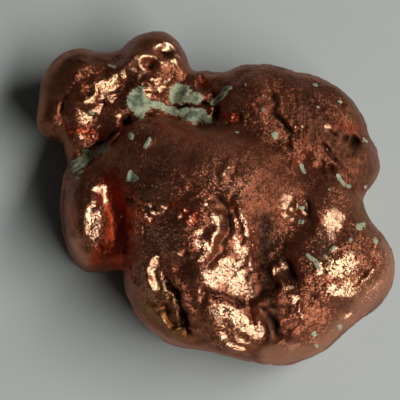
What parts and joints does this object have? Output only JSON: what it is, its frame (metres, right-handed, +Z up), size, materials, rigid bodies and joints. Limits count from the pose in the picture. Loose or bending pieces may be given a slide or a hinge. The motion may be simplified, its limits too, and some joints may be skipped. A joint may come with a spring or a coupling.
{
  "type": "native copper nugget",
  "caption": "Solid waterworn lump of native copper with rounded lobes, folds and pits, that lies on its worn flat underside.",
  "frame": {"origin": "centre of the bounding box's bottom: the nugget lies on Z = 0", "axes": "+X along the longest side, towards the lobe right of the notch; +Y towards the back, where the small head is; +Z up"},
  "size_m": [0.04, 0.0396, 0.0163],
  "materials": {
    "native_copper": null
  },
  "bodies": {
    "root": {"nugget": "native_copper"}
  },
  "joints": []
}
